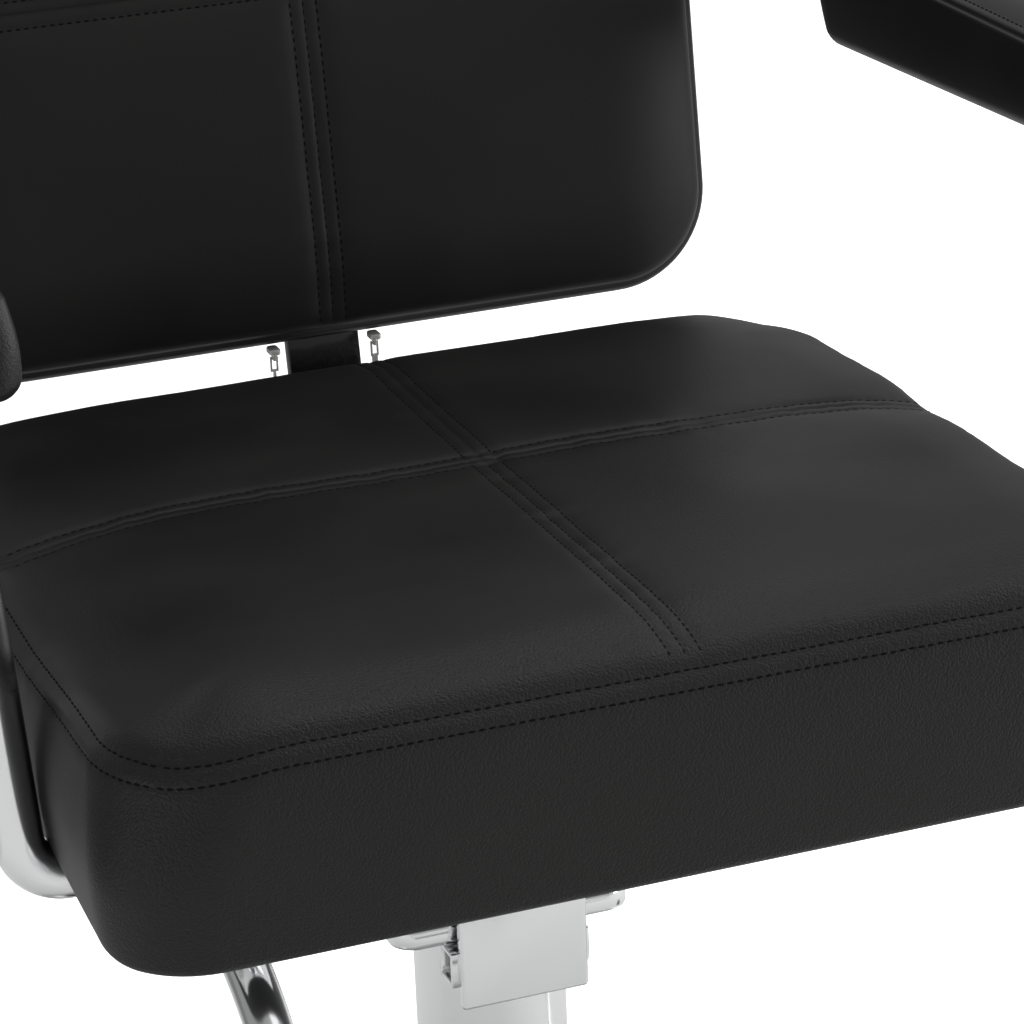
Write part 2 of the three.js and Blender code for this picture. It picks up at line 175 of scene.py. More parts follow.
# Embossed PVC upholstery vinyl: a satin black skin with a fine pebble grain that
# breaks its highlights. Pulled tight over the foam, the grain is nearly flat.
vinylFinish = {
    "deep": "#161616", "lift": "#1d1d1c", "patch": 111 * mm,   # slow change of tint
    "roughLow": 0.40, "roughHigh": 0.50,
    "pebble": 1.1 * mm, "pore": 0.45 * mm, "warp": 1.2 * mm, "grainDepth": 0.55 * mm,
    "poreShare": 0.4,                                         # of the pebble's depth
    "grainFront": 1.0, "grainTop": 0.15, "grainBack": 0.05,   # share of the depth that is left
    "frontFade": (-0.295, -0.235), "rearFade": (-0.1, 0.2),   # over these places along Y
}


def makeVinyl():
    fin = vinylFinish
    material, tree, body, place = newMaterial("pebbledVinyl", {
        "Roughness": 0.45, "IOR": 1.5, "Specular IOR Level": 0.3})
    soft = addNode(tree, "ShaderNodeTexNoise", {
        "Vector": place, "Scale": scaleFor(fin["patch"]), "Detail": 3.0,
        "Roughness": 0.5}).outputs["Fac"]
    tint = colourRamp(tree, soft, [(0.3, fin["deep"]), (0.75, fin["lift"])])
    tree.links.new(tint, body.inputs["Base Color"])
    tree.links.new(spanRamp(tree, soft, fin["roughLow"], fin["roughHigh"], 0.3, 0.7),
                   body.inputs["Roughness"])
    warp = addNode(tree, "ShaderNodeTexNoise", {
        "Vector": place, "Scale": scaleFor(2 * fin["pebble"]), "Detail": 1.0})
    bent = addNode(tree, "ShaderNodeMixRGB", {
        "Fac": fin["warp"], "Color1": place, "Color2": warp.outputs["Color"]},
        blend_type="ADD")
    pebble = addNode(tree, "ShaderNodeTexVoronoi", {
        "Vector": bent.outputs["Color"], "Scale": scaleFor(fin["pebble"])},
        feature="SMOOTH_F1").outputs["Distance"]
    pore = addNode(tree, "ShaderNodeTexNoise", {
        "Vector": place, "Scale": scaleFor(fin["pore"]), "Detail": 2.0}).outputs["Fac"]
    along = addNode(tree, "ShaderNodeSeparateXYZ", {"Vector": place}).outputs["Y"]
    nearSide = spanRamp(tree, along, fin["grainFront"], fin["grainTop"], *fin["frontFade"])
    farSide = spanRamp(tree, along, 1.0, fin["grainBack"] / fin["grainTop"], *fin["rearFade"])
    taut = addNode(tree, "ShaderNodeMath", {0: nearSide, 1: farSide}, operation="MULTIPLY")
    under = bumpInto(tree, body, pore, fin["grainDepth"] * fin["poreShare"], taut.outputs[0])
    bumpInto(tree, body, pebble, -fin["grainDepth"], taut.outputs[0], under)
    return material


# Bonded polyester sewing thread, twisted, a little glossier than the vinyl.
def makeThread():
    material, tree, body, place = newMaterial("blackThread", {
        "Base Color": hexColour("#050505"), "Roughness": 0.6, "Specular IOR Level": 0.12})
    twist = addNode(tree, "ShaderNodeTexWave", {
        "Vector": place, "Scale": scaleFor(1.11 * mm), "Distortion": 2.0},
        bands_direction="DIAGONAL")
    bumpInto(tree, body, twist.outputs["Fac"], 0.1 * mm, 0.5)
    return material


# Chrome plate over drawn steel: bright but a little hazed, so reflections are soft.
def makeChrome():
    material, tree, body, place = newMaterial("satinChrome", {
        "Base Color": hexColour("#eff0f1"), "Metallic": 1.0})
    haze = addNode(tree, "ShaderNodeTexNoise", {
        "Vector": place, "Scale": scaleFor(45.5 * mm), "Detail": 4.0}).outputs["Fac"]
    tree.links.new(spanRamp(tree, haze, 0.13, 0.19, 0.35, 0.7), body.inputs["Roughness"])
    ripple = addNode(tree, "ShaderNodeTexNoise", {
        "Vector": place, "Scale": scaleFor(16.7 * mm), "Detail": 1.0}).outputs["Fac"]
    bumpInto(tree, body, ripple, 0.05 * mm, 0.25)
    return material


# Bright zinc electroplate on the fasteners: grey, slightly mottled.
def makeZinc():
    material, tree, body, place = newMaterial("brightZinc", {"Metallic": 1.0})
    cloud = addNode(tree, "ShaderNodeTexNoise", {
        "Vector": place, "Scale": scaleFor(4.17 * mm), "Detail": 3.0}).outputs["Fac"]
    tint = colourRamp(tree, cloud, [(0.3, "#cfd1cf"), (0.7, "#e4e5e2")])
    tree.links.new(tint, body.inputs["Base Color"])
    tree.links.new(spanRamp(tree, cloud, 0.2, 0.36, 0.3, 0.7), body.inputs["Roughness"])
    return material


# Satin nickel plate on the die-cast zip parts: paler and softer than the bolts. The near-white,
# partly diffuse base is a painted reflection of the bright backdrop, lit by the panels.
def makeNickelPaintedSheen():
    material, tree, body, place = newMaterial("satinNickelPaintedSheen", {"Metallic": 0.45})
    cloud = addNode(tree, "ShaderNodeTexNoise", {
        "Vector": place, "Scale": scaleFor(2 * mm), "Detail": 3.0}).outputs["Fac"]
    # Painted reflection: the near-white tint stands in for the bright backdrop seen in the metal.
    tint = colourRamp(tree, cloud, [(0.3, "#eeeeec"), (0.7, "#f7f7f5")])
    tree.links.new(tint, body.inputs["Base Color"])
    tree.links.new(spanRamp(tree, cloud, 0.4, 0.55, 0.3, 0.7), body.inputs["Roughness"])
    return material


# Gloss black stove enamel sprayed on steel, with a light orange peel.
def makeBlackPaint():
    material, tree, body, place = newMaterial("blackEnamel", {
        "Base Color": hexColour("#0e0e0f"), "Coat Weight": 0.5, "Coat Roughness": 0.08})
    peel = addNode(tree, "ShaderNodeTexNoise", {
        "Vector": place, "Scale": scaleFor(3.125 * mm), "Detail": 2.0}).outputs["Fac"]
    tree.links.new(spanRamp(tree, peel, 0.2, 0.32), body.inputs["Roughness"])
    bumpInto(tree, body, peel, 0.15 * mm, 0.35)
    return material


# Moulded black rubber: matt, with a dusty bloom and a fine moulded texture.
def makeRubber():
    material, tree, body, place = newMaterial("mouldedRubber", {"Specular IOR Level": 0.35})
    bloom = addNode(tree, "ShaderNodeTexNoise", {
        "Vector": place, "Scale": scaleFor(22.2 * mm), "Detail": 5.0}).outputs["Fac"]
    tint = colourRamp(tree, bloom, [(0.35, "#151515"), (0.75, "#222120")])
    tree.links.new(tint, body.inputs["Base Color"])
    tree.links.new(spanRamp(tree, bloom, 0.62, 0.8), body.inputs["Roughness"])
    fine = addNode(tree, "ShaderNodeTexNoise", {
        "Vector": place, "Scale": scaleFor(0.667 * mm), "Detail": 2.0}).outputs["Fac"]
    bumpInto(tree, body, fine, 0.1 * mm, 0.4)
    return material


# Grey-painted sand casting: rough skin under thin paint.
def makeCastIron():
    material, tree, body, place = newMaterial("castIron", {"Metallic": 0.3})
    skin = addNode(tree, "ShaderNodeTexNoise", {
        "Vector": place, "Scale": scaleFor(2.63 * mm), "Detail": 6.0}).outputs["Fac"]
    tint = colourRamp(tree, skin, [(0.3, "#3a3b3d"), (0.7, "#505153")])
    tree.links.new(tint, body.inputs["Base Color"])
    tree.links.new(spanRamp(tree, skin, 0.6, 0.78), body.inputs["Roughness"])
    bumpInto(tree, body, skin, 0.4 * mm, 0.5)
    return material


# Raw birch plywood: pale straw face with long grain.
def makePlywood():
    material, tree, body, place = newMaterial("birchPlywood", {"Specular IOR Level": 0.3})
    stretched = addNode(tree, "ShaderNodeMapping", {
        "Vector": place, "Scale": (1.0, 12.0, 12.0)}).outputs["Vector"]
    grain = addNode(tree, "ShaderNodeTexNoise", {
        "Vector": stretched, "Scale": scaleFor(45.5 * mm), "Detail": 5.0}).outputs["Fac"]
    tint = colourRamp(tree, grain, [(0.3, "#a98656"), (0.7, "#cdb083")])
    tree.links.new(tint, body.inputs["Base Color"])
    tree.links.new(spanRamp(tree, grain, 0.6, 0.8), body.inputs["Roughness"])
    bumpInto(tree, body, grain, 0.15 * mm, 0.4)
    return material


vinyl = makeVinyl()
thread = makeThread()
chrome = makeChrome()
zinc = makeZinc()
nickelPaintedSheen = makeNickelPaintedSheen()
blackPaint = makeBlackPaint()
rubber = makeRubber()
castIron = makeCastIron()
plywood = makePlywood()
print("materials made")


# Helpers for pieces.

def finishPiece(name, mesh, material, body, stands=()):
    piece = bpy.data.objects.new(name, mesh)
    scene.collection.objects.link(piece)
    mesh.materials.clear()
    mesh.materials.append(material)
    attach(piece, body)
    if stands:
        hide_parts(*stands)
    return piece


def meshFrom(bm, name):
    bmesh.ops.recalc_face_normals(bm, faces=bm.faces[:])
    mesh = bpy.data.meshes.new(name)
    for face in bm.faces:
        face.smooth = True
    bm.to_mesh(mesh)
    bm.free()
    return mesh


edgeBreak = {"segments": 2, "bevelFrom": 25, "flatTo": 1.0, "sharpFrom": 50}   # angles in degrees


def bevelSharp(bm, width):
    edges = [e for e in bm.edges if len(e.link_faces) == 2
             and e.calc_face_angle(0) > math.radians(edgeBreak["bevelFrom"])]
    if edges:
        bmesh.ops.bevel(bm, geom=edges, offset=width, segments=edgeBreak["segments"],
                        profile=0.5, affect="EDGES", material=-1, clamp_overlap=True)


# A designed part with its sharp edges broken by a width in millimetres.
def softenedCopy(node, material, body, width):
    bm = bmesh.new()
    bm.from_mesh(cad[node].data)
    bmesh.ops.remove_doubles(bm, verts=bm.verts[:], dist=0.01 * mm)
    bmesh.ops.dissolve_limit(bm, angle_limit=math.radians(edgeBreak["flatTo"]),
                             verts=bm.verts[:], edges=bm.edges[:])
    bevelSharp(bm, width * mm)
    mesh = meshFrom(bm, node + "Finished")
    mesh.set_sharp_from_angle(angle=math.radians(edgeBreak["sharpFrom"]))
    finishPiece(node + "_finished", mesh, material, body, [node])


# Spins (radius, height) pairs in millimetres once around Z.
def spinProfile(points, steps):
    bm = bmesh.new()
    verts = [bm.verts.new(Vector((r * mm, 0, z * mm))) for r, z in points]
    closed = points[0][0] > 0
    pairs = list(zip(verts, verts[1:])) + ([(verts[-1], verts[0])] if closed else [])
    edges = [bm.edges.new(pair) for pair in pairs]
    bmesh.ops.spin(bm, geom=verts + edges, cent=(0, 0, 0), axis=(0, 0, 1), dvec=(0, 0, 0),
                   angle=2 * math.pi, steps=steps, use_merge=True)
    bmesh.ops.remove_doubles(bm, verts=bm.verts[:], dist=0.005 * mm)
    return bm


# Straight runs joined by arcs of the given bend radii.
def bentPath(corners, radii, arcSteps=16):
    corners = [Vector(c) for c in corners]
    path = [corners[0]]
    for i, radius in enumerate(radii, 1):
        before = (corners[i - 1] - corners[i]).normalized()
        after = (corners[i + 1] - corners[i]).normalized()
        half = before.angle(after) / 2
        reach = radius / math.tan(half)
        centre = corners[i] + (before + after).normalized() * radius / math.sin(half)
        start = corners[i] + before * reach - centre
        end = corners[i] + after * reach - centre
        turnAxis = start.cross(end).normalized()
        turn = start.angle(end)
        for k in range(arcSteps + 1):
            path.append(centre + Matrix.Rotation(turn * k / arcSteps, 3, turnAxis) @ start)
    path.append(corners[-1])
    return path


def roundTube(path, radius, sides=28, capRoll=0.8):
    bm = bmesh.new()
    path = [p * mm for p in path]
    radius *= mm
    steps = [(b - a).normalized() for a, b in zip(path, path[1:])]
    ways = [steps[0]] + [(a + b).normalized() for a, b in zip(steps, steps[1:])] + [steps[-1]]
    upward = ways[0].orthogonal().normalized()
    rings = []
    roll = capRoll * mm
    first, last = ways[0], ways[-1]
    stations = [(path[0], first, radius - roll), (path[0] + first * roll, first, radius)]
    stations += [(p, w, radius) for p, w in zip(path[1:-1], ways[1:-1])]
    stations += [(path[-1] - last * roll, last, radius), (path[-1], last, radius - roll)]
    old = ways[0]
    for point, way, size in stations:
        upward = old.rotation_difference(way) @ upward
        upward = (upward - way * upward.dot(way)).normalized()
        old = way
        across = way.cross(upward)
        rings.append([bm.verts.new(point + (upward * math.cos(t) + across * math.sin(t)) * size)
                      for t in (2 * math.pi * k / sides for k in range(sides))])
    for low, high in zip(rings, rings[1:]):
        for k in range(sides):
            bm.faces.new((low[k], low[(k + 1) % sides], high[(k + 1) % sides], high[k]))
    bm.faces.new(rings[0][::-1])
    bm.faces.new(rings[-1])
    return bm


# Soft boxes: upholstered cushions cut as a grid and rolled at the edges.

seamLines = (-4.5, -2.4, -1.1, 0, 1.1, 2.4, 4.5)   # grid lines beside a seam
rowLines = (-1.6, 0, 1.6)                          # and beside a row of stitches


def spacedLines(low, high, pitch, seams=(), rows=(), edges=()):
    marks = {low, high}
    for seam in seams:
        marks |= {seam + d for d in seamLines}
    for row in rows:
        marks |= {row + d for d in rowLines}
    for edge, roll in edges:
        inward = 1 if edge == low else -1
        marks |= {edge + inward * roll * k / 4 for k in (1, 2, 3, 4)}
    marks = sorted(m for m in marks if low <= m <= high)
    filled = []
    for a, b in zip(marks, marks[1:]):
        count = max(1, round((b - a) / pitch))
        filled += [a + (b - a) * k / count for k in range(count)]
    return filled[1:]


def gridBox(low, high, lines):
    stops = [[low[k], *lines[k], high[k]] for k in range(3)]
    bm = bmesh.new()
    for axis in range(3):
        u, v = [k for k in range(3) if k != axis]
        across, along = len(stops[u]) - 1, len(stops[v]) - 1
        for level in (low[axis], high[axis]):
            made = bmesh.ops.create_grid(bm, x_segments=across, y_segments=along, size=0.5)
            for vert in made["verts"]:
                place = [0, 0, 0]
                place[axis] = level
                place[u] = stops[u][round((vert.co.x + 0.5) * across)]
                place[v] = stops[v][round((vert.co.y + 0.5) * along)]
                vert.co = place
    bmesh.ops.remove_doubles(bm, verts=bm.verts[:], dist=1e-3)
    return bm


# Maps a point of a square's quarter onto a circle's quarter of the same size.
def squareToRound(a, b):
    size = max(a, b)
    if size <= 0:
        return 0.0, 0.0
    if a >= b:
        angle = math.pi / 4 * b / a
    else:
        angle = math.pi / 2 - math.pi / 4 * a / b
    return size * math.cos(angle), size * math.sin(angle)


# Rounds a box point's corner and rims; also gives its way out and its inset from the side.
def rollBox(co, low, high, corner, topRoll, lowRoll):
    cx, cy = (low[0] + high[0]) / 2, (low[1] + high[1]) / 2
    hx, hy = (high[0] - low[0]) / 2, (high[1] - low[1]) / 2
    x, y = co.x - cx, co.y - cy
    sx, sy = math.copysign(1, x), math.copysign(1, y)
    ax, ay = abs(x), abs(y)
    inset = min(hx - ax, hy - ay)
    if ax > hx - corner and ay > hy - corner:
        rx, ry = squareToRound(ax - hx + corner, ay - hy + corner)
        out = Vector((rx * sx, ry * sy, 0))
        out = out.normalized() if out.length > 0 else Vector((sx, 0, 0))
        ax, ay = hx - corner + rx, hy - corner + ry
    elif hx - ax < hy - ay:
        out = Vector((sx, 0, 0))
    else:
        out = Vector((0, sy, 0))
    flat = Vector((cx + ax * sx, cy + ay * sy, co.z))
    for roll, drop, way in ((topRoll, high[2] - co.z, -1), (lowRoll, co.z - low[2], 1)):
        if inset < roll and drop < roll:
            side, rise = squareToRound(roll - inset, roll - drop)
            flat += out * (side - (roll - inset))
            flat.z += -way * (rise - (roll - drop))
    return flat, out, inset


def smoothStep(value):
    value = min(max(value, 0.0), 1.0)
    return value * value * (3 - 2 * value)


def ditch(distance, width):
    return math.exp(-(distance / width) ** 2)


# Slow waves where the foam is uneven, and small puckers that run off a sewn seam.
def wave(co, size):
    return noise.noise(Vector(co) / size)


def pucker(along, away, reach, size=9.0):
    return noise.noise(Vector((along / size, away / (size * 4), 3.7))) * ditch(away, reach)


def unitStitch():
    bm = bmesh.new()
    bmesh.ops.create_uvsphere(bm, u_segments=6, v_segments=5, radius=1)
    bm.verts.index_update()
    points = [vert.co.copy() for vert in bm.verts]
    faces = [[vert.index for vert in face.verts] for face in bm.faces]
    bm.free()
    return points, faces


stitchPoints, stitchFaces = unitStitch()


stitch = {
    "pitch": 4.8, "length": 3.3, "width": 1.25, "height": 1.1, "sink": 0.05,
    "seamWidth": 0.8, "borderLength": 3.9, "borderWidth": 1.35,
}


def stitchAlong(sewn, path, length=stitch["length"], width=stitch["width"]):
    points, faces = sewn
    pitch, height, sink = stitch["pitch"], stitch["height"], stitch["sink"]
    lengths = [0.0]
    for (a, _), (b, _) in zip(path, path[1:]):
        lengths.append(lengths[-1] + (b - a).length)
    at, k = pitch / 2, 0
    while at < lengths[-1]:
        while lengths[k + 1] < at:
            k += 1
        share = (at - lengths[k]) / (lengths[k + 1] - lengths[k])
        point = path[k][0].lerp(path[k + 1][0], share)
        normal = path[k][1].lerp(path[k + 1][1], share).normalized()
        along = (path[k + 1][0] - path[k][0]).normalized()
        along = (along - normal * along.dot(normal)).normalized()
        across = normal.cross(along)
        turn = Matrix((along, across, normal)).transposed().to_4x4()
        size = Matrix.Diagonal((length / 2, width / 2, height / 2, 1))
        place = Matrix.Translation(point - normal * sink) @ turn @ size
        first = len(points)
        points += [place @ spot for spot in stitchPoints]
        faces += [[first + i for i in face] for face in stitchFaces]
        at += pitch


def stitchMesh(sewn, place, name):
    points, faces = sewn
    mesh = bpy.data.meshes.new(name)
    mesh.from_pydata([place @ point for point in points], [], faces)
    mesh.shade_smooth()
    return mesh


# Drops points straight down onto a surface, from well above it.
def dropOnto(tree, points):
    landed = []
    way = Vector((0, 0, -1))
    rise, reach = 60, 200
    for point in points:
        hit, normal, _, _ = tree.ray_cast(Vector(point) - way * rise, way, reach)
        if hit is not None:
            landed.append((hit, normal if normal.dot(way) < 0 else -normal))
    return landed


def stepped(start, end, step=4.0):
    start, end = Vector(start), Vector(end)
    count = max(2, round((end - start).length / step))
    return [start.lerp(end, k / count) for k in range(count + 1)]


# Seat cushion.

seatShape = {
    "low": (-258, -301, 413), "high": (258, 168, 519), "corner": 64, "cornerLow": 44,
    "topRoll": 14, "lowRoll": 6, "pitch": 5.5,
    "crossSeam": -24.6, "rowGap": 7.6, "borderRow": 11.5,
    "crown": 6.0, "plump": 3.6, "shoulder": 52, "sideBulge": 4.5,
    "seamDip": 1.0, "seamNick": 0.7, "rowDip": 0.7, "sideSag": 3.2, "endSag": 3.6,
    "rearSag": 6.0, "frontHang": 2.0, "leftSpread": 0.032, "footSpread": 0.024,
    "leftSag": 7.5, "frontFill": 0.45, "waveLift": 1.6, "waveSize": 95, "sideWave": 1.2,
    "sideWaveSize": 70, "seamPucker": 0.9, "rimPucker": 0.5, "borderPucker": 0.45,
    "borderDip": 0.6, "rimDip": 0.7, "rowEnd": 9, "castLevel": 530,
}


# How far the top has settled: at the sides, left front, rear right and seam ends.
def seatSag(u, w, across):
    shape = seatShape
    sag = shape["sideSag"] * smoothStep((abs(u) - 0.5) / 0.45) * (1 - smoothStep((-w - 0.2) / 0.4))
    sag += shape["leftSag"] * smoothStep((-u - 0.7) / 0.3) * (1 - smoothStep((w + 0.3) / 0.7))
    sag += shape["rearSag"] * smoothStep((u - 0.72) / 0.28) * smoothStep((w - 0.25) / 0.5)
    return sag + shape["endSag"] * ditch(across, 30) * smoothStep((abs(u) - 0.6) / 0.4)


# Crown of the top, with its seams, stitch rows, waves and puckers.
def seatLift(co, u, w, inset):
    shape = seatShape
    fromSeam = co.y - shape["crossSeam"]
    across = abs(fromSeam)
    rim = 1 - (1 - min(1, inset / shape["shoulder"])) ** 2.0
    front = shape["frontFill"] + (1 - shape["frontFill"]) * smoothStep(0.4 - w)
    lift = shape["crown"] * rim + shape["plump"] * front * rim * max(0, 1 - u ** 4)
    fade = smoothStep((inset - 2) / 14)
    lift -= shape["seamDip"] * max(ditch(co.x, 11), ditch(across, 16)) * fade
    lift -= shape["seamNick"] * max(ditch(co.x, 1.2), ditch(across, 1.2)) * fade
    lift -= shape["rowDip"] * max(ditch(abs(co.x) - shape["rowGap"], 1.5),
                                  ditch(across - shape["rowGap"], 1.5)) * fade
    lift += shape["waveLift"] * wave((co.x, co.y, 0), shape["waveSize"]) * rim
    lift += shape["seamPucker"] * (pucker(co.y, co.x, 15) + pucker(co.x, fromSeam, 15)) * fade
    return lift + shape["rimPucker"] * pucker(co.x + co.y, inset, 12)


def seatSurface(co):
    shape = seatShape
    low, high, roll = shape["low"], shape["high"], shape["topRoll"]
    drop = high[2] - co.z
    corner = shape["corner"] + (shape["cornerLow"] - shape["corner"]) * smoothStep(drop / 70)
    flat, out, inset = rollBox(co, low, high, corner, roll, shape["lowRoll"])
    cy = (low[1] + high[1]) / 2
    u, w = co.x / high[0], (co.y - cy) / (high[1] - cy)
    sag = seatSag(u, w, abs(co.y - shape["crossSeam"]))
    if drop < 0.01:
        flat.z += seatLift(co, u, w, inset) - sag
    elif inset < 0.01:
        share = min(1, max(0, drop / (high[2] - low[2])))
        border = drop - shape["borderRow"]
        belly = math.sin(math.pi * share)
        flat += out * shape["sideBulge"] * belly ** 0.8
        flat += out * shape["sideWave"] * wave(co, shape["sideWaveSize"]) * belly
        flat += out * shape["borderPucker"] * pucker(co.x + co.y, border, 10)
        flat -= out * shape["borderDip"] * ditch(border, 1.3)
        flat.z -= sag * (1 - smoothStep(drop / 90))
    hang = (1 - 0.3 * u) * smoothStep(-w * 5 - 3.8) * smoothStep((drop - 40) / 50)
    flat.z -= shape["frontHang"] * hang
    if u < 0:
        foot = shape["footSpread"] * smoothStep(-w) * smoothStep(drop / 70)
        flat.x *= 1 + (shape["leftSpread"] + foot) * smoothStep(-u)
    if inset < roll and drop < roll:
        rim = (out + Vector((0, 0, 1))).normalized()
        flat -= rim * shape["rimDip"] * ditch(inset + drop, 1.2)
    return flat


def makeSeat():
    shape = seatShape
    low, high, pitch = shape["low"], shape["high"], shape["pitch"]
    seam, gap, roll = shape["crossSeam"], shape["rowGap"], shape["topRoll"]
    xLines = spacedLines(low[0], high[0], pitch, seams=(0,), rows=(-gap, gap),
                         edges=((low[0], roll), (high[0], roll)))
    yLines = spacedLines(low[1], high[1], pitch, seams=(seam,), rows=(seam - gap, seam + gap),
                         edges=((low[1], roll), (high[1], roll)))
    zLines = spacedLines(low[2], high[2], pitch, rows=(high[2] - shape["borderRow"],),
                         edges=((low[2], shape["lowRoll"]), (high[2], roll)))
    bm = gridBox(low, high, (xLines, yLines, zLines))
    for vert in bm.verts:
        vert.co = seatSurface(vert.co)
    bm.normal_update()
    tree = BVHTree.FromBMesh(bm)
    stitches = ([], [])
    margin, level = shape["rowEnd"], shape["castLevel"]
    for x in (-gap, 0, gap):
        ends = ((low[1] + margin, seam - gap), (seam + gap, high[1] - margin))
        for a, b in ends[:1] if x == 0 else ends:
            stitchAlong(stitches, dropOnto(tree, stepped((x, a, level), (x, b, level))),
                        width=stitch["seamWidth"] if x == 0 else stitch["width"])
    for y in (seam - gap, seam + gap):
        for a, b in ((low[0] + margin, -gap), (gap, high[0] - margin)):
            stitchAlong(stitches, dropOnto(tree, stepped((a, y, level), (b, y, level))))
    for drop in (0, shape["borderRow"]):
        stitchAlong(stitches, edgeRow(seatSurface, low, high, drop),
                    length=stitch["borderLength"], width=stitch["borderWidth"])
    place = Matrix.Diagonal((mm, mm, mm, 1))
    bmesh.ops.transform(bm, matrix=place, verts=bm.verts[:])
    cover = finishPiece("seat_cover", meshFrom(bm, "seatCover"), vinyl, "seat",
                        ["seat_cushion"])
    finishPiece("seat_stitching", stitchMesh(stitches, place, "seatStitching"), thread, "seat")


# Follows the rim of a soft box at one distance below its edge seam.
def edgeRow(surface, low, high, drop, step=4.0):
    corners = [(low[0], low[1]), (high[0], low[1]), (high[0], high[1]), (low[0], high[1])]
    level = high[2] - drop
    row = []
    for (ax, ay), (bx, by) in zip(corners, corners[1:] + corners[:1]):
        count = round(max(abs(bx - ax), abs(by - ay)) / step)
        for k in range(count):
            x, y = ax + (bx - ax) * k / count, ay + (by - ay) * k / count
            here = surface(Vector((x, y, level)))
            below = surface(Vector((x, y, level - 3)))
            ahead = surface(Vector((x + (bx - ax) / count, y + (by - ay) / count, level)))
            normal = (ahead - here).cross(here - below)
            row.append((here, normal.normalized()))
    row.append(row[0])
    return row


makeSeat()
print("seat made")


# Back cushion, shaped lying flat with its front face up, then stood on its tilt.

backShape = {
    "tilt": 10, "foot": (0, 210, 519.5), "crossSeam": 201, "rowGap": 7.6,
    "low": (-232, 1.5, -76), "high": (232, 409, -8), "corner": 55, "taper": 0.034,
    "topRoll": 9, "lowRoll": 7, "pitch": 6,
    "crown": 10.0, "sideBulge": 4.5, "seamDip": 1.2, "seamNick": 0.7, "rowDip": 0.7,
    "shoulder": 60, "rearFill": 0.5, "seamPucker": 0.8, "waveLift": 2.0, "waveSize": 110,
    "rimDip": 1.2, "rowEnd": 7, "castLevel": 20,
}


def backPlace():
    tilt = math.radians(backShape["tilt"])
    across = Vector((1, 0, 0))
    upward = Vector((0, math.sin(tilt), math.cos(tilt)))
    front = Vector((0, -math.cos(tilt), math.sin(tilt)))
    turn = Matrix((across, upward, front)).transposed().to_4x4()
    return Matrix.Translation(backShape["foot"]) @ turn


def backSurface(co):
    shape = backShape
    low, high = shape["low"], shape["high"]
    flat, out, inset = rollBox(co, low, high, shape["corner"], shape["topRoll"], shape["lowRoll"])
    cy = (low[1] + high[1]) / 2
    middle = (low[2] + high[2]) / 2
    u, w = co.x / high[0], (co.y - cy) / (high[1] - cy)
    isFace = inset > shape["topRoll"] or co.z > high[2] - 0.01 or co.z < low[2] + 0.01
    way = 1 if co.z > middle else -1
    if isFace:
        rim = 1 - (1 - min(1, inset / shape["shoulder"])) ** 2
        full = 1 if way > 0 else shape["rearFill"]
        lift = full * shape["crown"] * (0.8 * rim + 0.2 * max(0, 1 - u * u) * max(0, 1 - w * w))
        if way > 0:
            across = abs(co.y - shape["crossSeam"])
            fade = smoothStep(inset / 18)
            lift -= shape["seamDip"] * max(ditch(co.x, 12), ditch(across, 14)) * fade
            lift -= shape["seamNick"] * max(ditch(co.x, 1.2), ditch(across, 1.2)) * fade
            lift -= shape["rowDip"] * max(ditch(abs(co.x) - shape["rowGap"], 1.5),
                                          ditch(across - shape["rowGap"], 1.5)) * fade
            folds = pucker(co.y, co.x, 14) + pucker(co.x, across, 14)
            lift += shape["seamPucker"] * folds * fade
        lift += shape["waveLift"] * wave((co.x, co.y, 40 * way), shape["waveSize"]) * rim
        flat.z += way * lift
    elif inset < 0.01:
        share = (high[2] - co.z) / (high[2] - low[2])
        flat += out * shape["sideBulge"] * math.sin(math.pi * share)
    for level in (high[2], low[2]):
        away = abs(inset) + abs(level - co.z)
        if inset < 6 and abs(level - co.z) < 6:
            sign = 1 if level == high[2] else -1
            rimWay = (out + Vector((0, 0, sign))).normalized()
            flat -= rimWay * ditch(away, 1.3) * shape["rimDip"]
    flat.x *= 1 + shape["taper"] * (flat.y - low[1]) / (high[1] - low[1])
    return flat


def makeBack():
    shape = backShape
    low, high, pitch = shape["low"], shape["high"], shape["pitch"]
    seam, gap, roll = shape["crossSeam"], shape["rowGap"], shape["topRoll"]
    xLines = spacedLines(low[0], high[0], pitch, seams=(0,), rows=(-gap, gap),
                         edges=((low[0], roll), (high[0], roll)))
    yLines = spacedLines(low[1], high[1], pitch, seams=(seam,), rows=(seam - gap, seam + gap),
                         edges=((low[1], roll), (high[1], roll)))
    zLines = spacedLines(low[2], high[2], pitch,
                         edges=((low[2], shape["lowRoll"]), (high[2], roll)))
    bm = gridBox(low, high, (xLines, yLines, zLines))
    for vert in bm.verts:
        vert.co = backSurface(vert.co)
    tree = BVHTree.FromBMesh(bm)
    stitches = ([], [])
    margin, level = shape["rowEnd"], shape["castLevel"]
    for x in (-gap, 0, gap):
        for a, b in ((low[1] + margin, seam - gap), (seam + gap, high[1] - margin)):
            stitchAlong(stitches, dropOnto(tree, stepped((x, a, level), (x, b, level))),
                        width=stitch["seamWidth"] if x == 0 else stitch["width"])
    for y in (seam - gap, seam + gap):
        for a, b in ((low[0] + margin, -gap), (gap, high[0] - margin)):
            stitchAlong(stitches, dropOnto(tree, stepped((a, y, level), (b, y, level))))
    place = Matrix.Diagonal((mm, mm, mm, 1)) @ backPlace()
    bmesh.ops.transform(bm, matrix=place, verts=bm.verts[:])
    cover = finishPiece("back_cover", meshFrom(bm, "backCover"), vinyl, "seat",
                        ["back_cushion"])
    finishPiece("back_stitching", stitchMesh(stitches, place, "backStitching"), thread, "seat")


makeBack()
print("back made")


# Arm pads.

